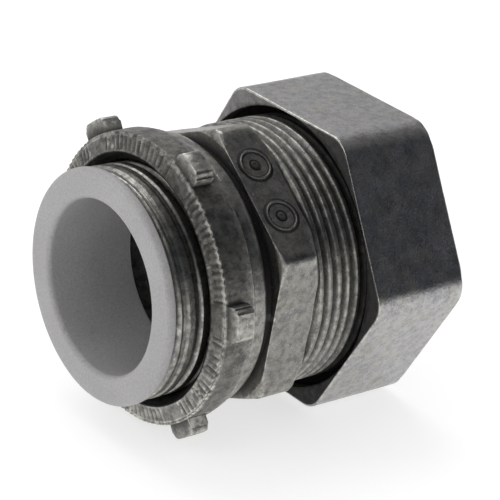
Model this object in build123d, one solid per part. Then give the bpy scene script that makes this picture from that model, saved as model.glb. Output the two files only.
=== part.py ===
from build123d import *
import math
import os

# Conduit compression fitting, 1 inch trade size, lying with its axis along X.
# The origin is on the axis at the shoulder face that seats against the box wall.
# The box side is -X and the conduit side is +X. +Z is up, normal to one flat of the compression nut.

# Conduit and box sizes that the fitting is made for
CONDUIT_RADIUS = 14.77      # outside of 1 inch EMT
CONDUIT_CLEARANCE = 0.18    # radial play of the conduit in its socket
THROAT_RADIUS = 12.2        # smallest passage for the conductors
INCH = 25.4

# Box-side thread, 1 inch straight pipe thread
NOSE_PITCH = INCH / 11.5
NOSE_CREST = 16.3
NOSE_ROOT = 15.2
NOSE_CREST_WIDTH = 0.45
NOSE_END = -10.5            # where the metal nose meets the lip of the liner
NOSE_RELIEF = -1.2          # the thread stops here, short of the shoulder
NOSE_BORE = 13.7

# Gland thread, 1 1/2 inch - 16
GLAND_PITCH = INCH / 16
GLAND_CREST = 19.0
GLAND_ROOT = 18.1
GLAND_CREST_WIDTH = 0.25
GLAND_END = 26.5

# Shoulder flange, valley and body hexagon
FLANGE_RADIUS = 19.5
FLANGE_END = 2.5
VALLEY_RADIUS = 17.9
HEX_START = 3.9
HEX_END = 10.6
HEX_APOTHEM = 18.6
HEX_CORNER_RADIUS = 21.2
HEX_TURN = -23.5            # degrees from the nut's hexagon

# Inside of the body
LINER_END = 2.2
STOP_RADIUS = 13.2
STOP_END = 4.8
SOCKET_RADIUS = CONDUIT_RADIUS + CONDUIT_CLEARANCE
SEAT_START = 22.6
SEAT_MOUTH_RADIUS = 16.9
THREAD_CHAMFER = 1.0

# Cast-in marks on one body flat: plain rings with a dot
MARK_RADIUS = 2.35
MARK_LINE = 0.35
MARK_DOT = 0.7
MARK_HEIGHT = 0.15
MARK_X = 7.2
MARK_OFFSETS = (-4.35, 3.8)  # across the flat, from its middle line

# Insulated throat liner
LIP_FRONT = -11.9
LIP_RADIUS = 16.5
LIP_OUTER_ROUND = 0.65
LIP_MOUTH_ROUND = 0.8

# Locknut
LOCKNUT_FRONT = -6.0        # the front face slopes from here to the rim
LOCKNUT_RIM_START = -5.6
LOCKNUT_BACK = -0.3
LOCKNUT_MOUTH_RADIUS = 17.5
LOCKNUT_MOUTH_END = -4.6
LOCKNUT_RIM_RADIUS = 20.5
LOCKNUT_BACK_RADIUS = 20.2
LOCKNUT_BORE = NOSE_CREST + 0.15
LUG_COUNT = 6
LUG_FIRST_ANGLE = -6.0      # degrees about X from +Y
LUG_WIDTH = 4.6
LUG_TIP_RADIUS = 22.6
LUG_START = -5.2
LUG_END = -2.3
LUG_ROUND = 0.9

# Compression nut
NUT_FRONT = 18.5
NUT_BACK = 34.0
NUT_APOTHEM = 20.67
NUT_EDGE_ROUND = 3.9
NUT_MOUTH_RADIUS = 20.35
NUT_MOUTH_END = 20.9
NUT_BORE = GLAND_CREST + 0.15
NUT_BORE_START = 22.0
NUT_TAPER_START = 30.3
NUT_TAPER_RADIUS = 17.3
NUT_OUTLET_RADIUS = 15.2
NUT_OUTLET_START = 32.4
NUT_CHAMFER_RADIUS = 22.5

# Split gland ring
RING_START = 25.1
RING_END = 31.9
RING_OUTER = 16.9
RING_INNER = SOCKET_RADIUS
RING_FRONT_TIP = 15.2
RING_BACK_TIP = 15.4
RING_FRONT_BEVEL_END = 28.5
RING_BACK_BEVEL_START = 30.4
RING_GAP = 2.0


def turned(*corners):
    """A solid of revolution about X. Each corner is (x, radius) or (x, radius, rounding)."""
    outline = make_face(Polyline(*[corner[:2] for corner in corners], close=True).edges())
    for x, radius, rounding in [corner for corner in corners if len(corner) == 3]:
        vertex = outline.vertices().sort_by_distance((x, radius, 0))[0]
        outline = fillet(vertex, rounding)
    return revolve(Plane.XZ * outline, Axis.X)


def cylinder(radius, x_from, x_to):
    """A cylinder along X."""
    return extrude(Plane.YZ.offset(x_from) * Circle(radius), x_to - x_from)


def cross(radius, degrees):
    """A point of a cross-section, at this radius and angle."""
    angle = math.radians(degrees)
    return (radius * math.cos(angle), radius * math.sin(angle))


def threaded_rod(pitch, root, crest, crest_width, x_from, x_to):
    """A rod with separate 60 degree ridges in place of a thread, one at each multiple of the pitch."""
    flank = (crest - root) * math.tan(math.radians(30))
    half_crest = crest_width / 2
    half_base = half_crest + flank
    first = math.ceil((x_from + half_base) / pitch)
    last = math.floor((x_to - half_base) / pitch)
    ridges = []
    for ridge in range(first, last + 1):
        middle = ridge * pitch
        ridges += [
            (middle - half_base, root),
            (middle - half_crest, crest),
            (middle + half_crest, crest),
            (middle + half_base, root),
        ]
    return turned((x_from, 0), (x_from, root), *ridges, (x_to, root), (x_to, 0))


def hexagon(apothem, turn, x_from, x_to, edge_round=0):
    """A hexagonal prism along X, with its long edges rounded."""
    outline = RegularPolygon(apothem, 6, major_radius=False, rotation=turn)
    if edge_round:
        outline = fillet(outline.vertices(), edge_round)
    return extrude(Plane.YZ.offset(x_from) * outline, x_to - x_from)


def body_hexagon():
    """The wrench hexagon, its corners turned down and chamfered at both ends."""
    prism = hexagon(HEX_APOTHEM, HEX_TURN, HEX_START, HEX_END)
    envelope = turned(
        (HEX_START, 0),
        (HEX_START, HEX_CORNER_RADIUS - 1.2),
        (HEX_START + 0.5, HEX_CORNER_RADIUS),
        (HEX_END - 1, HEX_CORNER_RADIUS),
        (HEX_END, HEX_CORNER_RADIUS - 1.4),
        (HEX_END, 0),
    )
    return prism & envelope


def body_marks():
    """Two plain rings, each round a dot, cast on one flat of the hexagon."""
    normal_angle = HEX_TURN + 150
    y, z = cross(HEX_APOTHEM, normal_angle)
    across = cross(1, normal_angle + 90)
    marks = Part()
    for offset in MARK_OFFSETS:
        centre = (MARK_X, y + offset * across[0], z + offset * across[1])
        plane = Plane(origin=centre, x_dir=(1, 0, 0), z_dir=(0, y, z))
        sketch = Circle(MARK_RADIUS) - Circle(MARK_RADIUS - MARK_LINE) + Circle(MARK_DOT)
        marks += extrude(plane * sketch, MARK_HEIGHT, both=True)
    return marks


def fitting_body():
    """The one-piece casting: threaded nose, shoulder flange, hexagon and gland thread."""
    nose = threaded_rod(NOSE_PITCH, NOSE_ROOT, NOSE_CREST, NOSE_CREST_WIDTH, NOSE_END, NOSE_RELIEF)
    nose &= turned(
        (NOSE_END, 0),
        (NOSE_END, NOSE_ROOT),
        (NOSE_END + THREAD_CHAMFER, NOSE_CREST + 0.1),
        (NOSE_RELIEF - THREAD_CHAMFER, NOSE_CREST + 0.1),
        (NOSE_RELIEF, NOSE_ROOT),
        (NOSE_RELIEF, 0),
    )
    neck = cylinder(NOSE_ROOT, NOSE_RELIEF, 0.5)
    flange = turned(
        (0, 0),
        (0, FLANGE_RADIUS, 0.6),
        (FLANGE_END, FLANGE_RADIUS, 1.1),
        (FLANGE_END, VALLEY_RADIUS),
        (HEX_START + 1, VALLEY_RADIUS),
        (HEX_START + 1, 0),
    )
    gland_start = HEX_END - 1.5
    gland = threaded_rod(
        GLAND_PITCH, GLAND_ROOT, GLAND_CREST, GLAND_CREST_WIDTH, gland_start, GLAND_END
    )
    gland &= turned(
        (gland_start, 0),
        (gland_start, GLAND_CREST + 0.1),
        (GLAND_END - THREAD_CHAMFER, GLAND_CREST + 0.1),
        (GLAND_END, GLAND_ROOT),
        (GLAND_END, 0),
    )
    passage = turned(
        (NOSE_END - 1, 0),
        (NOSE_END - 1, NOSE_BORE),
        (LINER_END, NOSE_BORE),
        (LINER_END, STOP_RADIUS),
        (STOP_END, STOP_RADIUS),
        (STOP_END, SOCKET_RADIUS),
        (SEAT_START, SOCKET_RADIUS),
        (GLAND_END, SEAT_MOUTH_RADIUS),
        (GLAND_END + 1, SEAT_MOUTH_RADIUS),
        (GLAND_END + 1, 0),
    )
    return nose + neck + flange + body_hexagon() + body_marks() + gland - passage


def insulated_throat():
    """The plastic liner: a sleeve in the nose with a rounded lip over its end."""
    return turned(
        (LIP_FRONT, THROAT_RADIUS, LIP_MOUTH_ROUND),
        (LIP_FRONT, LIP_RADIUS, LIP_OUTER_ROUND),
        (NOSE_END, LIP_RADIUS, LIP_OUTER_ROUND),
        (NOSE_END, NOSE_BORE),
        (LINER_END, NOSE_BORE),
        (LINER_END, THROAT_RADIUS, 0.6),
    )


def locknut():
    """The locknut: a flat ring with driving lugs round its rim."""
    ring = turned(
        (LOCKNUT_FRONT, 0),
        (LOCKNUT_FRONT, LOCKNUT_MOUTH_RADIUS),
        (LOCKNUT_RIM_START, LOCKNUT_RIM_RADIUS, 0.5),
        (LOCKNUT_BACK, LOCKNUT_BACK_RADIUS, 0.6),
        (LOCKNUT_BACK, 0),
    )
    height = LUG_TIP_RADIUS - LOCKNUT_MOUTH_RADIUS
    outline = Pos(LUG_TIP_RADIUS - height / 2, 0) * Rectangle(height, LUG_WIDTH)
    outline = fillet(outline.vertices().group_by(Axis.X)[-1], LUG_ROUND)
    lug = extrude(Plane.YZ.offset(LUG_START) * outline, LUG_END - LUG_START)
    for step in range(LUG_COUNT):
        ring += Rot(LUG_FIRST_ANGLE + step * 360 / LUG_COUNT, 0, 0) * lug
    bore = turned(
        (LOCKNUT_FRONT - 1, 0),
        (LOCKNUT_FRONT - 1, LOCKNUT_MOUTH_RADIUS),
        (LOCKNUT_FRONT, LOCKNUT_MOUTH_RADIUS),
        (LOCKNUT_MOUTH_END, LOCKNUT_BORE),
        (LOCKNUT_BACK + 1, LOCKNUT_BORE),
        (LOCKNUT_BACK + 1, 0),
    )
    return ring - bore


def compression_nut():
    """The gland nut: a rounded hexagon, bored clear of the gland thread, with a taper for the ring."""
    prism = hexagon(NUT_APOTHEM, 0, NUT_FRONT, NUT_BACK, NUT_EDGE_ROUND)
    corner = NUT_APOTHEM / math.cos(math.radians(30))
    prism &= turned(
        (NUT_FRONT, 0),
        (NUT_FRONT, corner),
        (NUT_BACK - (corner - NUT_CHAMFER_RADIUS) / 1.7, corner),
        (NUT_BACK, NUT_CHAMFER_RADIUS),
        (NUT_BACK, 0),
    )
    inside = turned(
        (NUT_FRONT - 1, 0),
        (NUT_FRONT - 1, NUT_MOUTH_RADIUS),
        (NUT_MOUTH_END, NUT_MOUTH_RADIUS),
        (NUT_BORE_START, NUT_BORE),
        (NUT_TAPER_START, NUT_BORE),
        (NUT_TAPER_START, NUT_TAPER_RADIUS),
        (NUT_OUTLET_START, NUT_OUTLET_RADIUS),
        (NUT_BACK + 1, NUT_OUTLET_RADIUS),
        (NUT_BACK + 1, 0),
    )
    return prism - inside


def gland_ring():
    """The split steel ring that the nut squeezes onto the conduit."""
    ring = turned(
        (RING_START, RING_INNER),
        (RING_START, RING_FRONT_TIP),
        (RING_FRONT_BEVEL_END, RING_OUTER),
        (RING_BACK_BEVEL_START, RING_OUTER),
        (RING_END, RING_BACK_TIP),
        (RING_END, RING_INNER),
    )
    return ring - Pos(0, 0, RING_OUTER) * Box(4 * RING_END, RING_GAP, RING_OUTER)


PIECES = {
    "fitting_body": fitting_body,
    "insulated_throat": insulated_throat,
    "locknut": locknut,
    "compression_nut": compression_nut,
    "gland_ring": gland_ring,
}

os.makedirs("parts", exist_ok=True)
for name, make in PIECES.items():
    export_step(make(), f"parts/{name}.step")
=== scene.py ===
import math
import bpy
import numpy as np
from mathutils import Matrix, Vector, noise


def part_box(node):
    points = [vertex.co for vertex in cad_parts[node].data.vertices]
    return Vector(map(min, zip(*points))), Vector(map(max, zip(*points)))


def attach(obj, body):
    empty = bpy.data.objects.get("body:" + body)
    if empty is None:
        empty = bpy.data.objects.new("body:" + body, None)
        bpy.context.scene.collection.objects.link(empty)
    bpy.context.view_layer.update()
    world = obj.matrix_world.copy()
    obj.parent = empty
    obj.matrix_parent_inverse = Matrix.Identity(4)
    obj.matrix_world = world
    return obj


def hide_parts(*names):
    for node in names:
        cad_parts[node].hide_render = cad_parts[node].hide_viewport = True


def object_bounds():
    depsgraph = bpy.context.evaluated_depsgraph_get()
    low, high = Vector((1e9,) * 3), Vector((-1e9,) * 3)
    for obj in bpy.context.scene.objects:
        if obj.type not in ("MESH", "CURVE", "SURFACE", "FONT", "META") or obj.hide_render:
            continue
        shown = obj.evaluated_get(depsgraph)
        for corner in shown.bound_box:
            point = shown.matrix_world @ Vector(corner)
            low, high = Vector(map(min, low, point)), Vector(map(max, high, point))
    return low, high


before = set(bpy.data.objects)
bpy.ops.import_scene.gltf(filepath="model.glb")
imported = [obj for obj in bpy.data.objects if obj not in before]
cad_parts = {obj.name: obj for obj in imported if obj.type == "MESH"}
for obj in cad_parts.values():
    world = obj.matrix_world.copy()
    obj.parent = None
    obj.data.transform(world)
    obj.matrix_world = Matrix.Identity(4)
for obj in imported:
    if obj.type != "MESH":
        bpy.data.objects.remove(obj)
cad_low, cad_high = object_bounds()

# Lengths are in metres unless the name says otherwise. MM turns millimetres into metres.
MM = 0.001

# Camera: long lens, looking down at the lip end, rolled a little
LENS_MM = 180
CAMERA_AZIMUTH = -39.5
CAMERA_ELEVATION = 24.1
CAMERA_ROLL = 5.7
CAMERA_DISTANCE = 350.5 * MM
AIM_FROM_LIP = 25.0 * MM
AIM_SIDE = -1.1 * MM
AIM_UP = 1.1 * MM

# Places read from the frame
LIP_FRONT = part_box("insulated_throat")[0][0]
LINER_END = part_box("insulated_throat")[1][0]
LIP_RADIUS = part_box("insulated_throat")[1][1]
NOSE_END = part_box("fitting_body")[0][0]
GLAND_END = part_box("fitting_body")[1][0]
LOCKNUT_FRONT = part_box("locknut")[0][0]
LOCKNUT_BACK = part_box("locknut")[1][0]
NUT_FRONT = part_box("compression_nut")[0][0]
NUT_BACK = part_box("compression_nut")[1][0]
NUT_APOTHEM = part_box("compression_nut")[1][2]
RING_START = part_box("gland_ring")[0][0]
RING_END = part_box("gland_ring")[1][0]
FLOOR = cad_low[2]


# ---------------------------------------------------------------- mesh tools


def smoothstep(low, high, value):
    t = np.clip((value - low) / (high - low), 0, 1)
    return t * t * (3 - 2 * t)


def soft_min(a, b, blend):
    """The smaller of two radii, with the crease between them rounded."""
    h = np.clip(0.5 + 0.5 * (b - a) / blend, 0, 1)
    return b + (a - b) * h - blend * h * (1 - h)


def soft_max(a, b, blend):
    return -soft_min(-a, -b, blend)


def thread_radius(x, angle, pitch, root, crest, crest_width, phase=0.0):
    """Radius of a right-hand 60 degree thread with eased crests. Phase 0 has a crest at x 0, angle 0."""
    turn = x / pitch - angle / (2 * math.pi) + phase
    from_crest = np.abs(turn - np.round(turn)) * pitch
    slope = 1 / math.tan(math.radians(30))
    flank = crest - (from_crest - crest_width / 2) * slope
    ease = 0.12 * MM
    return soft_max(soft_min(flank, crest + 0 * flank, ease), root + 0 * flank, ease)


def hex_radius(angle, apothem, turn_degrees, edge_round):
    """Radius of a hexagon whose edges are arcs of edge_round. turn_degrees is the angle of one edge."""
    sector = math.pi / 3
    local = (angle - math.radians(turn_degrees)) % sector - sector / 2
    flat = apothem / np.cos(local)
    corner = apothem / math.cos(sector / 2)
    centre = corner - edge_round / math.cos(sector / 2)
    off = sector / 2 - np.abs(local)
    under = np.clip(edge_round**2 - (centre * np.sin(off)) ** 2, 0, None)
    rounded = centre * np.cos(off) + np.sqrt(under)
    arc_end_x = centre + edge_round * math.cos(sector / 2)
    arc_end_y = edge_round * math.sin(sector / 2)
    on_arc = off < math.atan2(arc_end_y, arc_end_x)
    return np.where(on_arc, rounded, flat)


def wobble(points, size, depth, seed):
    """A smooth random offset for each point, for castings that aren't quite true."""
    shift = Vector((seed, -seed, 2 * seed))
    values = [noise.noise(Vector(p) / size + shift) for p in points]
    return depth * np.array(values)


class Profile:
    """A closed loop of rings round the X axis, built up from stretches of (x, radius) over all angles.

    Each point also has a rubbed-edge value, which lightens rubbed edges and paints highlights on them,
    and a painted shade value, which darkens hollows, recesses and shaded sides.
    """

    def __init__(self, angles):
        self.angles = np.asarray(angles)
        self.x = []
        self.r = []
        self.wear_and_highlight = []
        self.painted_shade = []
        self.painted_shade_now = 0.0

    def ring(self, x, r, wear_and_highlight=0.0):
        shape = self.angles.shape
        self.x.append(np.broadcast_to(x, shape).astype(float))
        self.r.append(np.broadcast_to(r, shape).astype(float))
        self.wear_and_highlight.append(np.broadcast_to(wear_and_highlight, shape).astype(float))
        self.painted_shade.append(np.broadcast_to(self.painted_shade_now, shape).astype(float))

    def along(self, x_values, radius_at):
        for x in x_values:
            self.ring(x, radius_at(x, self.angles))

    def corner(self, x0, r0, x1, r1, x2, r2, steps=4, wear_and_highlight=1.0):
        """A rounded corner from (x0, r0) to (x2, r2) that bends towards (x1, r1)."""
        for step in range(steps + 1):
            t = step / steps
            x = (1 - t) ** 2 * x0 + 2 * t * (1 - t) * x1 + t**2 * x2
            r = (1 - t) ** 2 * r0 + 2 * t * (1 - t) * r1 + t**2 * r2
            # Rubbed edge with a painted highlight, brightest at the middle of the bend.
            self.ring(x, r, wear_and_highlight * 4 * t * (1 - t))


def lathe(name, profile, material, uneven, seed):
    """The mesh object of a profile: every ring joined to the next, and the last to the first."""
    x = np.array(profile.x)
    r = np.array(profile.r)
    angles = profile.angles
    rings, spokes = x.shape
    for size, depth in uneven:
        flat = np.stack([x, r * np.cos(angles), r * np.sin(angles)], -1).reshape(-1, 3)
        r = r + wobble(flat, size, depth, seed).reshape(rings, spokes)
    points = np.stack([x, r * np.cos(angles), r * np.sin(angles)], -1).reshape(-1, 3)
    i = np.arange(rings)[:, None]
    j = np.arange(spokes)[None, :]
    i2 = (i + 1) % rings
    j2 = (j + 1) % spokes
    corners = [i * spokes + j, i * spokes + j2, i2 * spokes + j2, i2 * spokes + j]
    faces = np.stack([c + 0 * i + 0 * j for c in corners], -1).reshape(-1, 4)
    layers = {"wear_and_highlight": np.array(profile.wear_and_highlight), "painted_shade": np.array(profile.painted_shade)}
    return mesh_object(name, points, faces, material, layers)


def mesh_object(name, points, faces, material, layers):
    mesh = bpy.data.meshes.new(name)
    mesh.from_pydata(points.tolist(), [], faces.tolist())
    mesh.polygons.foreach_set("use_smooth", [True] * len(mesh.polygons))
    for layer_name, values in layers.items():
        layer = mesh.attributes.new(layer_name, "FLOAT", "POINT")
        layer.data.foreach_set("value", np.clip(values, 0, 1).reshape(-1).astype(np.float32))
    mesh.materials.append(material)
    mesh.validate()
    piece = bpy.data.objects.new(name, mesh)
    bpy.context.scene.collection.objects.link(piece)
    return piece


def even_angles(count):
    return np.arange(count) * 2 * math.pi / count


def steps(start, end, count):
    return np.linspace(start, end, count)


# ---------------------------------------------------------------- materials


class Nodes:
    """Short hand for building one material's node tree."""

    def __init__(self, name):
        self.material = bpy.data.materials.new(name)
        self.material.use_nodes = True
        self.tree = self.material.node_tree
        self.shader = self.tree.nodes["Principled BSDF"]
        self.place = self.tree.nodes.new("ShaderNodeTexCoord").outputs["Object"]

    def link(self, source, target):
        self.tree.links.new(source, target)

    def mapped(self, scale, turn=(0, 0, 0)):
        node = self.tree.nodes.new("ShaderNodeMapping")
        node.inputs["Scale"].default_value = scale
        node.inputs["Rotation"].default_value = [math.radians(a) for a in turn]
        self.link(self.place, node.inputs["Vector"])
        return node.outputs["Vector"]

    def noise(self, scale, detail=4, roughness=0.55, vector=None):
        node = self.tree.nodes.new("ShaderNodeTexNoise")
        node.inputs["Scale"].default_value = scale
        node.inputs["Detail"].default_value = detail
        node.inputs["Roughness"].default_value = roughness
        self.link(vector if vector else self.place, node.inputs["Vector"])
        return node.outputs["Fac"]

    def ramp(self, value, *stops):
        """A colour ramp with two stops. Each is (position, grey or colour)."""
        node = self.tree.nodes.new("ShaderNodeValToRGB")
        for element, (position, colour) in zip(node.color_ramp.elements, stops):
            element.position = position
            colour = colour if isinstance(colour, tuple) else (colour,) * 3
            element.color = (*colour, 1)
        self.link(value, node.inputs["Fac"])
        return node.outputs["Color"]

    def math(self, operation, a, b):
        node = self.tree.nodes.new("ShaderNodeMath")
        node.operation = operation
        for socket, value in zip(node.inputs, (a, b)):
            if isinstance(value, (int, float)):
                socket.default_value = value
            else:
                self.link(value, socket)
        return node.outputs["Value"]

    def mix(self, factor, a, b, kind="MIX"):
        node = self.tree.nodes.new("ShaderNodeMix")
        node.data_type = "RGBA"
        node.blend_type = kind
        for socket, value in zip((node.inputs[0], node.inputs[6], node.inputs[7]), (factor, a, b)):
            if isinstance(value, (int, float)):
                socket.default_value = value
            elif isinstance(value, tuple):
                socket.default_value = (*value, 1)
            else:
                self.link(value, socket)
        return node.outputs[2]

    def attribute(self, name):
        node = self.tree.nodes.new("ShaderNodeAttribute")
        node.attribute_name = name
        return node.outputs["Fac"]

    def pointiness(self):
        return self.tree.nodes.new("ShaderNodeNewGeometry").outputs["Pointiness"]

    def bump(self, height, distance, strength=1.0, before=None):
        node = self.tree.nodes.new("ShaderNodeBump")
        node.inputs["Distance"].default_value = distance
        node.inputs["Strength"].default_value = strength
        self.link(height, node.inputs["Height"])
        if before:
            self.link(before, node.inputs["Normal"])
        return node.outputs["Normal"]


def zinc(name, light, dark, rough, streak_scale, seed, wear_and_highlight_gain=0.85):
    """Zinc die casting: mottled satin grey with specks, painted glints and streaks, painted shade in
    hollows and recesses, and rubbed edges with painted highlights.
    """
    n = Nodes(name)
    place = n.mapped((1, 1, 1), (seed, 2 * seed, 3 * seed))
    mottle = n.noise(380, 6, 0.68, place)
    grain = n.noise(2600, 3, 0.6, place)
    streaks = n.noise(1.0, 3, 0.6, n.mapped(streak_scale))
    fine_streaks = n.noise(1.0, 2, 0.5, n.mapped([3.1 * s for s in streak_scale], (8, 5, 11)))
    # Rubbed edges with painted highlights: convex edges and the per-point value lighten the base colour,
    # in patches.
    edge = n.ramp(n.pointiness(), (0.47, 0.0), (0.56, 1.0))
    # Painted shade in hollows: concave places darken the base colour.
    painted_hollow_shade = n.ramp(n.pointiness(), (0.40, 1.0), (0.49, 0.0))
    broken = n.ramp(n.noise(900, 3, 0.6, place), (0.38, 0.15), (0.6, 1.0))
    wear_and_highlight = n.math("MULTIPLY", n.math("MAXIMUM", edge, n.attribute("wear_and_highlight")), broken)
    base = n.mix(n.ramp(mottle, (0.3, 0.0), (0.7, 1.0)), dark, light)
    base = n.mix(n.ramp(grain, (0.62, 0.0), (0.75, 0.6)), base, tuple(0.5 * c for c in dark))
    base = n.mix(n.ramp(streaks, (0.56, 0.0), (0.7, 0.45)), base, tuple(1.25 * c for c in light))
    speckle = n.ramp(n.noise(4200, 3, 0.8, place), (0.3, 0.5), (0.7, 1.3))
    base = n.mix(1.0, base, speckle, "MULTIPLY")
    glints = n.noise(3400, 2, 0.5, n.mapped((1, 1, 1), (40, seed, 70)))
    base = n.mix(n.ramp(glints, (0.66, 0.0), (0.72, 0.55)), base, (0.62, 0.62, 0.60))
    tint = n.ramp(n.noise(350, 3, 0.6, place), (0.35, (0.97, 0.99, 1.04)), (0.65, (1.0, 0.985, 0.93)))
    base = n.mix(1.0, base, tint, "MULTIPLY")
    base = n.mix(n.math("MULTIPLY", painted_hollow_shade, 0.75), base, tuple(0.3 * c for c in dark))
    base = n.mix(n.math("MULTIPLY", wear_and_highlight, wear_and_highlight_gain), base, (0.7, 0.69, 0.63))
    # Painted shade from the per-point attribute, broken up by the mottle, mixes in near-black.
    patchy = n.ramp(mottle, (0.25, 0.85), (0.75, 1.0))
    painted_shade = n.math("MULTIPLY", n.attribute("painted_shade"), patchy)
    base = n.mix(painted_shade, base, (0.012, 0.012, 0.013))
    n.link(base, n.shader.inputs["Base Color"])
    uneven = n.ramp(mottle, (0.3, 0.0), (0.75, 1.0))
    roughness = n.mix(uneven, (rough - 0.06,) * 3, (rough + 0.1,) * 3)
    roughness = n.mix(wear_and_highlight, roughness, (rough - 0.1,) * 3)
    roughness = n.mix(n.math("MAXIMUM", painted_hollow_shade, painted_shade), roughness, (0.75,) * 3)
    n.link(roughness, n.shader.inputs["Roughness"])
    n.shader.inputs["Metallic"].default_value = 1.0
    normal = n.bump(mottle, 0.06 * MM, 0.5)
    normal = n.bump(grain, 0.05 * MM, 0.8, normal)
    normal = n.bump(streaks, 0.02 * MM, 0.3, normal)
    normal = n.bump(fine_streaks, 0.01 * MM, 0.3, normal)
    n.link(normal, n.shader.inputs["Normal"])
    return n.material


def liner_plastic():
    """Off-white moulded plastic, a little uneven, slightly soiled with dark specks, and with painted
    shade in its hollows.
    """
    n = Nodes("liner_plastic")
    cloud = n.noise(90, 4, 0.55)
    speck = n.noise(1500, 3, 0.6)
    base = n.mix(n.ramp(cloud, (0.3, 0.0), (0.7, 1.0)), (0.36, 0.352, 0.355), (0.42, 0.412, 0.415))
    base = n.mix(n.ramp(speck, (0.6, 0.0), (0.78, 0.5)), base, (0.25, 0.24, 0.235))
    grain = n.ramp(n.noise(3200, 3, 0.8), (0.3, 0.76), (0.7, 1.12))
    base = n.mix(1.0, base, grain, "MULTIPLY")
    # Painted shade in hollows: concave places darken the plastic.
    painted_hollow_shade = n.ramp(n.pointiness(), (0.42, 0.6), (0.49, 0.0))
    base = n.mix(painted_hollow_shade, base, (0.3, 0.29, 0.28))
    n.link(base, n.shader.inputs["Base Color"])
    n.link(n.ramp(cloud, (0.3, 0.42), (0.7, 0.56)), n.shader.inputs["Roughness"])
    n.shader.inputs["Subsurface Weight"].default_value = 0.15
    n.shader.inputs["Subsurface Radius"].default_value = (0.0012, 0.001, 0.0009)
    n.shader.inputs["Subsurface Scale"].default_value = 1.0
    normal = n.bump(cloud, 0.08 * MM, 0.4)
    normal = n.bump(speck, 0.01 * MM, 0.4, normal)
    n.link(normal, n.shader.inputs["Normal"])
    return n.material


def ring_steel():
    """Zinc-plated spring steel with turning lines."""
    n = Nodes("ring_steel")
    lines = n.noise(1.0, 3, 0.6, n.mapped((9000, 60, 60)))
    cloud = n.noise(300, 4)
    base = n.mix(n.ramp(cloud, (0.3, 0.0), (0.7, 1.0)), (0.42, 0.42, 0.43), (0.58, 0.58, 0.58))
    n.link(base, n.shader.inputs["Base Color"])
    n.link(n.ramp(lines, (0.3, 0.25), (0.7, 0.45)), n.shader.inputs["Roughness"])
    n.shader.inputs["Metallic"].default_value = 1.0
    n.link(n.bump(lines, 0.01 * MM, 0.4), n.shader.inputs["Normal"])
    return n.material


# ---------------------------------------------------------------- pieces

NOSE_PITCH = 25.4 / 11.5 * MM
NOSE_CREST = 16.25 * MM
NOSE_CREST_WIDTH = 1.15 * MM
NOSE_ROOT = 15.45 * MM
NOSE_END_SLOPE = 1.05
NOSE_LAND_START = NOSE_END + 0.9 * MM
NOSE_LAND_END = -6.3 * MM
NOSE_LAND_DROP = 0.18 * MM
NOSE_RELIEF = -1.2 * MM
NOSE_BORE = 13.7 * MM
GLAND_PITCH = 25.4 / 16 * MM
GLAND_CREST = 18.97 * MM
GLAND_CREST_WIDTH = 0.5 * MM
GLAND_ROOT = 18.1 * MM
GLAND_START_SLOPE = 1.2
GLAND_END_SLOPE = 0.9
THREAD_EASE = 0.1 * MM
FLANGE_RADIUS = 19.45 * MM
FLANGE_END = 2.5 * MM
VALLEY_RADIUS = 17.9 * MM
HEX_START = 3.9 * MM
HEX_END = 10.6 * MM
HEX_APOTHEM = 18.6 * MM
HEX_CORNER_RADIUS = 21.17 * MM
HEX_EDGE_ANGLE = -23.5
HEX_EDGE_ROUND = 0.6 * MM
HEX_FRONT_DROP = 1.2 * MM
HEX_FRONT_SLOPE = 2.4
HEX_BACK_DROP = 1.4 * MM
HEX_BACK_SLOPE = 1.4
MARK_RADIUS = 2.35 * MM
MARK_LINE = 0.35 * MM
MARK_DOT = 0.7 * MM
MARK_HEIGHT = 0.14 * MM
MARK_X = 7.2 * MM
MARK_OFFSETS = (-4.35 * MM, 3.8 * MM)
STOP_RADIUS = 13.2 * MM
STOP_END = 4.8 * MM
SOCKET_RADIUS = 14.95 * MM
SEAT_START = 22.6 * MM
SEAT_MOUTH = 16.9 * MM


def nose_thread(x, angle):
    """The nose's thread, with its first turn filled to a plain land."""
    r = thread_radius(x, angle, NOSE_PITCH, NOSE_ROOT, NOSE_CREST, NOSE_CREST_WIDTH)
    start_cone = NOSE_ROOT + (x - NOSE_END) * NOSE_END_SLOPE
    end_cone = NOSE_ROOT + (NOSE_RELIEF - x) * NOSE_END_SLOPE
    ramp = 0.4 * MM
    land = smoothstep(NOSE_LAND_START, NOSE_LAND_START + ramp, x)
    land = land - smoothstep(NOSE_LAND_END - ramp, NOSE_LAND_END, x)
    land_radius = NOSE_ROOT + land * (NOSE_CREST - NOSE_LAND_DROP - NOSE_ROOT)
    r = soft_max(r, land_radius + 0 * r, THREAD_EASE)
    r = soft_min(r, start_cone + 0 * r, THREAD_EASE)
    return soft_min(r, end_cone + 0 * r, THREAD_EASE)


def gland_thread(x, angle):
    """The casting's thread for the nut, tapered off at both ends."""
    r = thread_radius(x, angle, GLAND_PITCH, GLAND_ROOT, GLAND_CREST, GLAND_CREST_WIDTH)
    start_cone = GLAND_ROOT + (x - HEX_END - 0.15 * MM) * GLAND_START_SLOPE
    end_cone = GLAND_ROOT + (GLAND_END - x) * GLAND_END_SLOPE
    r = soft_min(r, start_cone + 0 * r, THREAD_EASE)
    return soft_min(r, end_cone + 0 * r, THREAD_EASE)


def collar(x, angle):
    """The wrench hexagon, its corners turned down and chamfered at both ends."""
    flats = hex_radius(angle, HEX_APOTHEM, HEX_EDGE_ANGLE, HEX_EDGE_ROUND)
    flats = soft_min(flats, HEX_CORNER_RADIUS + 0 * flats, 0.2 * MM)
    front = HEX_CORNER_RADIUS - HEX_FRONT_DROP + (x - HEX_START) * HEX_FRONT_SLOPE
    back = HEX_CORNER_RADIUS - HEX_BACK_DROP + (HEX_END - x) * HEX_BACK_SLOPE
    r = soft_min(flats, front + 0 * flats, 0.3 * MM)
    return soft_min(r, back + 0 * flats, 0.3 * MM)


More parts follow.
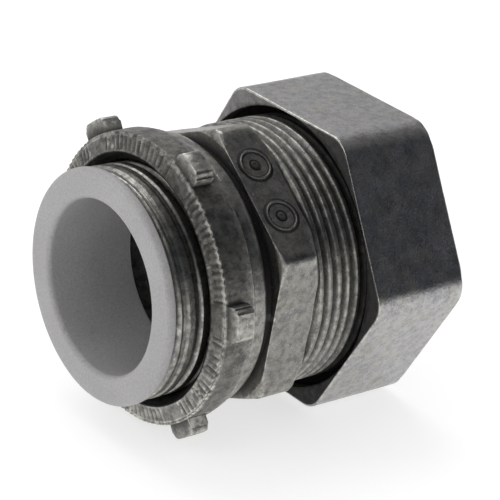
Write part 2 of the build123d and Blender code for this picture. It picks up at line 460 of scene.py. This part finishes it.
def fitting_body(material):
    """The casting: nose, flange, wrench hexagon and gland thread, then back through its bore."""
    p = Profile(even_angles(340))
    for x in steps(NOSE_END, NOSE_RELIEF, 66):
        r = nose_thread(x, p.angles)
        # Rubbed thread crests with a painted highlight.
        crest_wear_and_highlight = 0.6 * smoothstep(NOSE_CREST - 0.4 * MM, NOSE_CREST - 0.15 * MM, r)
        p.ring(x, r, crest_wear_and_highlight)
    # Painted shade in the neck between the nose thread and the flange.
    p.painted_shade_now = 0.8
    p.ring(-0.3 * MM, NOSE_ROOT)
    p.corner(-0.3 * MM, NOSE_ROOT, 0, NOSE_ROOT, 0, NOSE_ROOT + 0.3 * MM, 2, 0)
    p.ring(0, (NOSE_ROOT + FLANGE_RADIUS) / 2)
    front_round = 0.4 * MM
    back_round = 1.75 * MM
    p.painted_shade_now = 0.0
    p.corner(
        0, FLANGE_RADIUS - front_round, 0, FLANGE_RADIUS,
        front_round, FLANGE_RADIUS, 5,
    )
    p.corner(
        FLANGE_END - back_round, FLANGE_RADIUS, FLANGE_END, FLANGE_RADIUS,
        FLANGE_END, FLANGE_RADIUS - 0.7 * back_round, 9, 0.7,
    )
    # Painted shade in the valley between the flange and the hexagon.
    p.painted_shade_now = 0.8
    p.corner(
        FLANGE_END, VALLEY_RADIUS + 0.3 * MM, FLANGE_END, VALLEY_RADIUS,
        FLANGE_END + 0.3 * MM, VALLEY_RADIUS, 3, 0,
    )
    edge = 0.12 * MM
    front = collar(HEX_START, p.angles)
    p.ring(HEX_START - 0.1 * MM, VALLEY_RADIUS)
    p.ring(HEX_START, VALLEY_RADIUS + 0.1 * MM)
    p.painted_shade_now = 0.0
    p.corner(
        HEX_START, front - edge, HEX_START, front,
        HEX_START + edge, collar(HEX_START + edge, p.angles), 3,
    )
    p.along(steps(HEX_START + 2 * edge, HEX_END - 2 * edge, 20), collar)
    back = collar(HEX_END, p.angles)
    p.corner(
        HEX_END - edge, collar(HEX_END - edge, p.angles), HEX_END, back,
        HEX_END, back - edge, 3, 1.0,
    )
    p.ring(HEX_END, GLAND_ROOT + 0.05 * MM)
    p.ring(HEX_END + 0.05 * MM, GLAND_ROOT)
    # Painted shade on the gland thread, rising just before the nut's front and staying on inside the
    # nut.
    for x in steps(HEX_END + 0.15 * MM, NUT_FRONT + 2 * MM, 98):
        p.painted_shade_now = 0.9 * smoothstep(NUT_FRONT - 0.9 * MM, NUT_FRONT + 0.3 * MM, x)
        p.ring(x, gland_thread(x, p.angles))
    p.along(steps(NUT_FRONT + 2.1 * MM, GLAND_END, 30), gland_thread)
    # Painted shade in the seat, the socket and the bore.
    p.painted_shade_now = 0.5
    p.ring(GLAND_END, SEAT_MOUTH + 0.2 * MM)
    p.ring(GLAND_END - 0.2 * MM, SEAT_MOUTH - 0.1 * MM)
    p.painted_shade_now = 0.8
    p.ring(SEAT_START, SOCKET_RADIUS)
    p.along(steps(SEAT_START - 0.5 * MM, STOP_END + 0.3 * MM, 6), lambda x, a: SOCKET_RADIUS)
    p.corner(
        STOP_END + 0.3 * MM, SOCKET_RADIUS, STOP_END, SOCKET_RADIUS,
        STOP_END, SOCKET_RADIUS - 0.3 * MM, 3, 0,
    )
    p.corner(
        STOP_END, STOP_RADIUS + 0.25 * MM, STOP_END, STOP_RADIUS,
        STOP_END - 0.25 * MM, STOP_RADIUS, 3, 1,
    )
    p.ring(LINER_END + 0.05 * MM, STOP_RADIUS)
    p.ring(LINER_END, STOP_RADIUS + 0.05 * MM)
    p.ring(LINER_END, NOSE_BORE)
    p.ring(NOSE_END, NOSE_BORE)
    piece = lathe("die_casting", p, material, [(3 * MM, 0.035 * MM), (0.7 * MM, 0.012 * MM)], 1.0)
    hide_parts("fitting_body")
    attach(piece, "casting")


def cast_marks(material):
    """Two plain rings, each round a dot, raised on the hexagon's flat that faces up and forward."""
    normal_angle = math.radians(HEX_EDGE_ANGLE + 150)
    normal = np.array([0, math.cos(normal_angle), math.sin(normal_angle)])
    across = np.array([0, -math.sin(normal_angle), math.cos(normal_angle)])
    along = np.array([1.0, 0, 0])
    ring = MARK_RADIUS - MARK_LINE / 2
    half = MARK_LINE / 2
    foot = 0.2 * MM
    sunk = -0.05 * MM
    skirt = 0.004 * MM
    shoulder = 0.03 * MM
    outside = ring + half + 2 * foot
    inside = ring - half - foot
    dot_foot = MARK_DOT + foot
    bead = [(outside, sunk), (outside, skirt), (ring + half, shoulder)]
    for t in steps(0.4, math.pi - 0.4, 7):
        bead.append((ring + half * math.cos(t), 1.6 * half * math.sin(t)))
    bead += [(ring - half, shoulder), (inside, skirt), (inside, sunk)]
    dome = []
    for t in steps(0.05, math.pi / 2, 6):
        dome.append((MARK_DOT * math.sin(t), MARK_HEIGHT * math.cos(t) ** 0.8))
    dome += [(MARK_DOT + 0.02 * MM, shoulder), (dot_foot, skirt), (dot_foot, sunk)]
    spokes = 64
    points = []
    painted_shade = []
    faces = []
    for offset in MARK_OFFSETS:
        centre = along * MARK_X + normal * HEX_APOTHEM + across * offset
        for outline in (bead, dome):
            first = len(points)
            count = len(outline)
            for radius, height in outline:
                for angle in even_angles(spokes):
                    spread = radius * (math.cos(angle) * along + math.sin(angle) * across)
                    points.append(centre + spread + height * normal)
                    # Painted shade round the foot of each ring and dot, lighter on their raised tops.
                    painted_shade.append(0.9 - 0.6 * smoothstep(0.04 * MM, 0.13 * MM, height))
            for i in range(count):
                for j in range(spokes):
                    i2 = (i + 1) % count
                    j2 = (j + 1) % spokes
                    corners = ((i, j), (i2, j), (i2, j2), (i, j2))
                    faces.append([first + row * spokes + spoke for row, spoke in corners])
    layers = {"painted_shade": np.array(painted_shade)}
    piece = mesh_object("cast_marks", np.array(points), np.array(faces), material, layers)
    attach(piece, "casting")


def throat_liner(material):
    """The plastic sleeve, with its rolled lip over the nose's end."""
    throat = 12.2 * MM
    mouth = 0.8 * MM
    edge = 0.65 * MM
    bore = NOSE_BORE - 0.02 * MM
    p = Profile(even_angles(240))
    for step in reversed(range(11)):
        t = step / 10 * math.pi / 2
        p.ring(LIP_FRONT + mouth * (1 - math.cos(t)), throat + mouth * (1 - math.sin(t)))
    p.ring(LIP_FRONT, LIP_RADIUS - edge - 0.8 * MM)
    p.corner(
        LIP_FRONT, LIP_RADIUS - edge, LIP_FRONT, LIP_RADIUS,
        LIP_FRONT + edge, LIP_RADIUS, 6, 0,
    )
    p.corner(
        NOSE_END - 0.5 * MM, LIP_RADIUS, NOSE_END - 0.02 * MM, LIP_RADIUS,
        NOSE_END - 0.02 * MM, LIP_RADIUS - 0.5 * MM, 5, 0,
    )
    p.ring(NOSE_END - 0.02 * MM, bore + 0.3 * MM)
    p.ring(NOSE_END, bore)
    p.ring(LINER_END - 0.1 * MM, bore)
    p.ring(LINER_END, bore - 0.1 * MM)
    p.corner(
        LINER_END, throat + 0.5 * MM, LINER_END, throat,
        LINER_END - 0.5 * MM, throat, 4, 0,
    )
    p.along(steps(LINER_END - 0.6 * MM, LIP_FRONT + mouth + 0.4 * MM, 12), lambda x, a: throat)
    piece = lathe("throat_liner", p, material, [(8 * MM, 0.05 * MM)], 4.0)
    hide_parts("insulated_throat")
    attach(piece, "casting")


LUG_COUNT = 6
LUG_FIRST_ANGLE = -6.0
LUG_WIDTH = 4.6 * MM
LUG_TIP = 22.58 * MM
LUG_START = -5.2 * MM
LUG_END = -2.3 * MM
LUG_ROUND = 0.9 * MM
RIB_PITCH_DEGREES = 3.0
RIB_DEPTH = 0.34 * MM
RIM_RADIUS = 20.45 * MM
RIM_BACK_RADIUS = 20.15 * MM
RIM_START = -5.6 * MM
LOCKNUT_MOUTH = 17.5 * MM
LOCKNUT_MOUTH_END = -4.6 * MM
LOCKNUT_BORE = 16.5 * MM
LOCKNUT_THREAD_ROOT = 17.15 * MM


def from_lug(angle):
    """Signed angle from the middle of the nearest lug."""
    sector = 2 * math.pi / LUG_COUNT
    return (angle - math.radians(LUG_FIRST_ANGLE) + sector / 2) % sector - sector / 2


def lug_radius(angle):
    """Radius of a lug's outline, or the rim's where there is no lug."""
    off = np.abs(from_lug(angle))
    across = LUG_TIP * np.tan(off)
    into_corner = np.clip(across - (LUG_WIDTH / 2 - LUG_ROUND), 0, LUG_ROUND)
    drop = LUG_ROUND - np.sqrt(np.clip(LUG_ROUND**2 - into_corner**2, 0, None))
    top = LUG_TIP / np.cos(off) - drop
    side = math.asin(LUG_WIDTH / 2 / RIM_RADIUS)
    outline = np.maximum(np.minimum(top, LUG_TIP), RIM_RADIUS)
    return np.where(off <= side + 1e-9, outline, RIM_RADIUS)


def locknut_angles():
    """Even angles, with extra ones close on each side of every lug's flanks."""
    angles = list(even_angles(900))
    for lug in range(LUG_COUNT):
        middle = math.radians(LUG_FIRST_ANGLE + lug * 360 / LUG_COUNT)
        for side in (-1, 1):
            foot = math.asin(LUG_WIDTH / 2 / RIM_RADIUS)
            for extra in (-0.08, 0.0, 0.02, 0.1):
                angles.append((middle + side * (foot + math.radians(extra))) % (2 * math.pi))
    return np.array(sorted(angles))


def rib_groove(angle):
    """Depth, from 0 to 1, of the grooves between the front ribs, which stop short of the lugs."""
    clear = smoothstep(math.radians(6.5), math.radians(8.5), np.abs(from_lug(angle)))
    wave = 0.5 + 0.5 * np.cos(from_lug(angle) * 360 / RIB_PITCH_DEGREES)
    uneven = 0.7 + 0.3 * np.sin(37 * angle) * np.sin(11 * angle + 1)
    return clear * uneven * (1 - wave**0.8)


def locknut(material):
    """The lugged ring: front mouth, ribbed bevel, rim and lugs, back face, and the thread inside."""
    p = Profile(locknut_angles())
    a = p.angles
    groove = rib_groove(a)
    # Rubbed rib crests with a painted highlight.
    crest = 0.6 * (1 - groove) * (np.abs(from_lug(a)) > math.radians(8))
    # Painted shade in the locknut's mouth.
    p.painted_shade_now = 0.95
    p.ring(LOCKNUT_MOUTH_END, LOCKNUT_BORE)
    p.ring(LOCKNUT_FRONT + 0.4 * MM, LOCKNUT_MOUTH - 0.15 * MM)
    p.corner(
        LOCKNUT_FRONT + 0.2 * MM, LOCKNUT_MOUTH, LOCKNUT_FRONT + 0.02 * MM, LOCKNUT_MOUTH,
        LOCKNUT_FRONT + 0.02 * MM, LOCKNUT_MOUTH + 0.2 * MM, 4, 0.4,
    )
    # Painted shade on the ribbed front bevel, darkest towards angle 80 degrees.
    p.painted_shade_now = 0.22 + 0.22 * np.cos(a - math.radians(80))
    edge = 0.3 * MM
    inner = LOCKNUT_MOUTH + 0.3 * MM
    outer = RIM_RADIUS - edge
    for t in steps(0, 1, 13):
        x = LOCKNUT_FRONT + t * (RIM_START - LOCKNUT_FRONT)
        swell = smoothstep(0, 0.25, t)
        p.ring(x + RIB_DEPTH * groove * swell, inner + t * (outer - inner), crest * swell)
    notch = 0.12 * MM * groove
    p.corner(
        RIM_START + RIB_DEPTH * groove, outer, RIM_START + RIB_DEPTH * groove, RIM_RADIUS - notch,
        RIM_START + edge + 0.05 * MM, RIM_RADIUS - 0.5 * notch, 4, 0.8 - 0.4 * groove,
    )
    lug = lug_radius(a)
    raised = lug > RIM_RADIUS + 1e-6
    # Painted shade on the rim between the lugs and behind them.
    p.painted_shade_now = np.where(raised, 0.0, 0.35)
    ease = 0.25 * MM
    # Rubbed lug edges with painted highlights.
    p.ring(LUG_START, np.where(raised, lug - ease, RIM_RADIUS), 0.4 * raised)
    p.ring(LUG_START + 0.08 * MM, np.where(raised, lug - 0.07 * MM, RIM_RADIUS), 0.6 * raised)
    p.ring(LUG_START + ease, lug, 0.2 * raised)
    p.ring((LUG_START + LUG_END) / 2, lug)
    p.ring(LUG_END - ease, lug)
    p.ring(LUG_END - 0.08 * MM, np.where(raised, lug - 0.07 * MM, RIM_RADIUS), 0.6 * raised)
    p.ring(LUG_END, np.where(raised, lug - ease, RIM_RADIUS), 0.4 * raised)
    p.painted_shade_now = 0.35
    p.ring(LUG_END + 0.01 * MM, RIM_RADIUS)
    p.ring(LUG_END + 0.6 * MM, RIM_RADIUS)
    p.painted_shade_now = 0.0
    back = 0.5 * MM
    p.corner(
        LOCKNUT_BACK - back, RIM_BACK_RADIUS, LOCKNUT_BACK, RIM_BACK_RADIUS,
        LOCKNUT_BACK, RIM_BACK_RADIUS - back, 4, 0.6,
    )
    # Painted shade on the back face and the thread inside.
    p.painted_shade_now = 0.9
    p.ring(LOCKNUT_BACK, 19.0 * MM)
    p.ring(LOCKNUT_BACK, LOCKNUT_THREAD_ROOT + 0.25 * MM)
    p.along(
        steps(LOCKNUT_BACK - 0.8 * MM, LOCKNUT_MOUTH_END + 0.1 * MM, 22),
        lambda x, angle: -thread_radius(
            x, angle, NOSE_PITCH, -LOCKNUT_THREAD_ROOT, -LOCKNUT_BORE, 0.5 * MM, 0.5
        ),
    )
    piece = lathe("locknut_ring", p, material, [(2.5 * MM, 0.05 * MM), (0.5 * MM, 0.035 * MM)], 7.0)
    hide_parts("locknut")
    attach(piece, "locknut")


NUT_EDGE_ROUND = 3.9 * MM
NUT_MOUTH = 20.33 * MM
NUT_MOUTH_END = 20.9 * MM
NUT_THREAD_START = 22.0 * MM
NUT_THREAD_END = 28.6 * MM
NUT_THREAD_ROOT = 19.25 * MM
NUT_THREAD_CREST = 18.35 * MM
NUT_RELIEF = 19.4 * MM
NUT_TAPER_START = 30.3 * MM
NUT_TAPER_RADIUS = 17.35 * MM
NUT_TAPER_END = 32.4 * MM
NUT_OUTLET = 15.2 * MM
NUT_CHAMFER_RADIUS = 22.5 * MM
NUT_CHAMFER_SLOPE = 1.7
NUT_BEFORE_BACK = 23.26 * MM


def gland_nut(material):
    """The big hexagonal nut: front face, hexagon, back face, outlet, taper, thread and mouth."""
    p = Profile(even_angles(540))
    a = p.angles
    outline = hex_radius(a, NUT_APOTHEM - 0.02 * MM, 0, NUT_EDGE_ROUND)
    chamfer_ease = 0.2 * MM
    edge = 0.26 * MM
    p.ring(NUT_FRONT + 0.1 * MM, NUT_MOUTH - 0.02 * MM)
    # Painted shade on the front face, darkest towards angle 240 degrees and lightest towards 60.
    p.painted_shade_now = 0.72 - 0.22 * np.cos(a - math.radians(60))
    # Rubbed mouth edge with a painted highlight.
    p.ring(NUT_FRONT + 0.01 * MM, NUT_MOUTH + 0.04 * MM, 0.3)
    face_start = NUT_MOUTH + 0.06 * MM
    for t in (0.35, 0.7, 0.95):
        p.ring(NUT_FRONT, face_start + t * (outline - edge - face_start))
    p.painted_shade_now = 0.0
    p.corner(
        NUT_FRONT, outline - edge, NUT_FRONT, outline,
        NUT_FRONT + edge, outline, 5, 1.0,
    )
    for x in steps(NUT_FRONT + 0.9 * MM, NUT_BACK - 0.5 * MM, 22):
        cone = NUT_CHAMFER_RADIUS + (NUT_BACK - x) * NUT_CHAMFER_SLOPE
        p.ring(x, soft_min(outline, cone + 0 * outline, chamfer_ease))
    back_round = 0.45 * MM
    before_back = soft_min(outline, NUT_BEFORE_BACK + 0 * outline, chamfer_ease)
    back = soft_min(outline, NUT_CHAMFER_RADIUS + 0 * outline, chamfer_ease)
    p.corner(
        NUT_BACK - back_round, before_back, NUT_BACK, back,
        NUT_BACK, back - 0.5 * MM, 5, 0.8,
    )
    outlet_round = 0.4 * MM
    p.ring(NUT_BACK, 18.0 * MM)
    p.corner(
        NUT_BACK, NUT_OUTLET + outlet_round, NUT_BACK, NUT_OUTLET,
        NUT_BACK - outlet_round, NUT_OUTLET, 4, 0.5,
    )
    p.ring(NUT_TAPER_END, NUT_OUTLET)
    # Painted shade in the taper and on the thread inside.
    p.painted_shade_now = 0.6
    p.ring(NUT_TAPER_START + 0.05 * MM, NUT_TAPER_RADIUS - 0.1 * MM)
    p.ring(NUT_TAPER_START, NUT_TAPER_RADIUS)
    p.ring(NUT_TAPER_START, NUT_RELIEF - 0.1 * MM)
    p.ring(NUT_TAPER_START - 0.1 * MM, NUT_RELIEF)
    p.ring(NUT_THREAD_END + 0.4 * MM, NUT_RELIEF)
    p.painted_shade_now = 0.95
    p.along(
        steps(NUT_THREAD_END, NUT_THREAD_START, 46),
        lambda x, angle: -thread_radius(
            x, angle, GLAND_PITCH, -NUT_THREAD_ROOT, -NUT_THREAD_CREST, 0.34 * MM, 0.5
        ),
    )
    p.ring(NUT_MOUTH_END, NUT_MOUTH - 0.1 * MM)
    p.ring(NUT_MOUTH_END - 0.2 * MM, NUT_MOUTH - 0.02 * MM)
    piece = lathe("gland_nut", p, material, [(5 * MM, 0.03 * MM), (1.2 * MM, 0.008 * MM)], 11.0)
    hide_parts("compression_nut")
    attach(piece, "nut")


def split_ring(material):
    """The gland ring: its profile swept round from one side of the slit to the other."""
    half_gap = 1.0 * MM
    bore = 15.0 * MM
    outside = 16.9 * MM
    band_start = 28.6 * MM
    band_end = 30.3 * MM
    outline = [
        (RING_START, bore), (RING_START, bore + 0.15 * MM), (RING_START + 0.1 * MM, bore + 0.25 * MM),
        (band_start - 0.15 * MM, outside - 0.05 * MM), (band_start, outside), (band_end, outside),
        (band_end + 0.15 * MM, outside - 0.05 * MM), (RING_END - 0.1 * MM, bore + 0.45 * MM),
        (RING_END, bore + 0.3 * MM), (RING_END, bore),
    ]
    spokes = 240
    points = []
    for x, r in outline:
        opening = math.asin(half_gap / r)
        for j in range(spokes):
            angle = math.pi / 2 + opening + (2 * math.pi - 2 * opening) * j / (spokes - 1)
            points.append((x, r * math.cos(angle), r * math.sin(angle)))
    count = len(outline)
    faces = []
    for i in range(count):
        for j in range(spokes - 1):
            i2 = (i + 1) % count
            faces.append([i * spokes + j, i * spokes + j + 1, i2 * spokes + j + 1, i2 * spokes + j])
    mesh = bpy.data.meshes.new("split_ring")
    first_cap = [i * spokes for i in range(count)]
    last_cap = [i * spokes + spokes - 1 for i in reversed(range(count))]
    mesh.from_pydata(points, [], faces + [first_cap, last_cap])
    mesh.materials.append(material)
    mesh.validate()
    piece = bpy.data.objects.new("split_ring", mesh)
    bpy.context.scene.collection.objects.link(piece)
    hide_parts("gland_ring")
    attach(piece, "ring")


# ---------------------------------------------------------------- stage

FLOOR_SIZE = 6
FLOOR_GAP = 0.05 * MM
FLOOR_GREY = (0.5, 0.5, 0.5, 1)
FLOOR_GLOW = 0.66
MATT_LIGHT = (0.6, 0.6, 0.6, 1)
MIRROR_SLOPE = (0, 0.5, -0.05)
MIRROR_STOPS = (
    (0.14, (0.014, 0.02, 0.032)),
    (0.37, (0.16, 0.16, 0.1648)),
    (0.6, (0.26, 0.26, 0.2678)),
    (0.72, (0.42, 0.42, 0.4326)),
    (0.82, (0.6, 0.6, 0.61)),
)
HORIZON_STOPS = (
    (0.0, (0.33, 0.33, 0.34)),
    (0.28, (0.0, 0.0, 0.0)),
)


def stage():
    """A pale floor that glows a little, so that its shadows stay faint."""
    bpy.ops.mesh.primitive_plane_add(size=FLOOR_SIZE, location=(0, 0, FLOOR - FLOOR_GAP))
    floor = bpy.context.object
    floor.name = "floor"
    n = Nodes("pale_floor")
    n.shader.inputs["Base Color"].default_value = FLOOR_GREY
    n.shader.inputs["Roughness"].default_value = 0.8
    n.shader.inputs["Emission Color"].default_value = (1, 1, 1, 1)
    n.shader.inputs["Emission Strength"].default_value = FLOOR_GLOW
    floor.data.materials.append(n.material)


def area_light(name, place, target, size, power):
    light = bpy.data.lights.new(name, "AREA")
    light.shape = "DISK"
    light.size = size
    light.energy = power
    lamp = bpy.data.objects.new(name, light)
    lamp.location = place
    lamp.rotation_euler = (Vector(target) - Vector(place)).to_track_quat("-Z", "Y").to_euler()
    bpy.context.scene.collection.objects.link(lamp)


def world_ramp(tree, value, stops):
    """A colour ramp in the world's tree. Each stop is (position, colour), in rising order."""
    node = tree.nodes.new("ShaderNodeValToRGB")
    elements = node.color_ramp.elements
    for position, _ in stops[1:-1]:
        elements.new(position)
    for element, (position, colour) in zip(elements, stops):
        element.position = position
        element.color = (*colour, 1)
    tree.links.new(value, node.inputs["Fac"])
    return node.outputs["Color"]


def studio():
    """Two soft boxes in a world that is an even grey for matt surfaces.

    What metal mirrors is a ramp, dark on one side and bright on the other, lightened near the horizon.
    """
    area_light("top_softbox", (0.05, 0.5, 0.8), (0.01, 0, 0), size=0.9, power=3)
    area_light("left_softbox", (-0.75, 0.1, 0.4), (0.01, 0, 0), size=0.7, power=1.2)
    world = bpy.data.worlds.new("studio")
    world.use_nodes = True
    tree = world.node_tree
    direction = tree.nodes.new("ShaderNodeTexCoord").outputs["Generated"]
    facing = tree.nodes.new("ShaderNodeVectorMath")
    facing.operation = "DOT_PRODUCT"
    facing.inputs[1].default_value = MIRROR_SLOPE
    tree.links.new(direction, facing.inputs[0])
    level = tree.nodes.new("ShaderNodeMath")
    level.inputs[1].default_value = 0.5
    tree.links.new(facing.outputs["Value"], level.inputs[0])
    height = tree.nodes.new("ShaderNodeSeparateXYZ")
    tree.links.new(direction, height.inputs[0])
    mirrored = tree.nodes.new("ShaderNodeMix")
    mirrored.data_type = "RGBA"
    mirrored.blend_type = "LIGHTEN"
    mirrored.inputs[0].default_value = 1
    tree.links.new(world_ramp(tree, level.outputs["Value"], MIRROR_STOPS), mirrored.inputs[6])
    tree.links.new(world_ramp(tree, height.outputs["Z"], HORIZON_STOPS), mirrored.inputs[7])
    paths = tree.nodes.new("ShaderNodeLightPath")
    choose = tree.nodes.new("ShaderNodeMix")
    choose.data_type = "RGBA"
    choose.inputs[6].default_value = MATT_LIGHT
    tree.links.new(paths.outputs["Is Glossy Ray"], choose.inputs[0])
    tree.links.new(mirrored.outputs[2], choose.inputs[7])
    background = tree.nodes["Background"]
    tree.links.new(choose.outputs[2], background.inputs["Color"])
    background.inputs["Strength"].default_value = 1.0
    bpy.context.scene.world = world
    bpy.context.scene.view_settings.view_transform = "Standard"


def camera():
    """The photograph's view, worked out from the named angles and distance."""
    azimuth = math.radians(-CAMERA_AZIMUTH)
    elevation = math.radians(CAMERA_ELEVATION)
    forward = Vector((
        math.sin(azimuth) * math.cos(elevation),
        math.cos(azimuth) * math.cos(elevation),
        -math.sin(elevation),
    ))
    aim = Vector((LIP_FRONT + AIM_FROM_LIP, AIM_SIDE, AIM_UP))
    turn = forward.to_track_quat("-Z", "Y").to_matrix().to_4x4()
    roll = Matrix.Rotation(math.radians(CAMERA_ROLL), 4, "Z")
    data = bpy.data.cameras.new("camera")
    data.lens = LENS_MM
    data.clip_start = 0.01
    view = bpy.data.objects.new("camera", data)
    view.matrix_world = Matrix.Translation(aim - forward * CAMERA_DISTANCE) @ turn @ roll
    bpy.context.scene.collection.objects.link(view)
    bpy.context.scene.camera = view


camera()
casting_zinc = zinc(
    "zinc_casting", (0.225, 0.218, 0.206), (0.15, 0.148, 0.144), 0.38, (500, 90, 90), 3, 0.65
)
fitting_body(casting_zinc)
cast_marks(zinc("zinc_marks", (0.26, 0.252, 0.238), (0.165, 0.162, 0.157), 0.38, (500, 90, 90), 5, 0.2))
throat_liner(liner_plastic())
locknut(zinc("zinc_locknut", (0.21, 0.203, 0.19), (0.115, 0.113, 0.108), 0.38, (90, 90, 90), 7))
gland_nut(zinc("zinc_nut", (0.375, 0.368, 0.378), (0.29, 0.286, 0.294), 0.33, (500, 80, 80), 12))
split_ring(ring_steel())
stage()
studio()
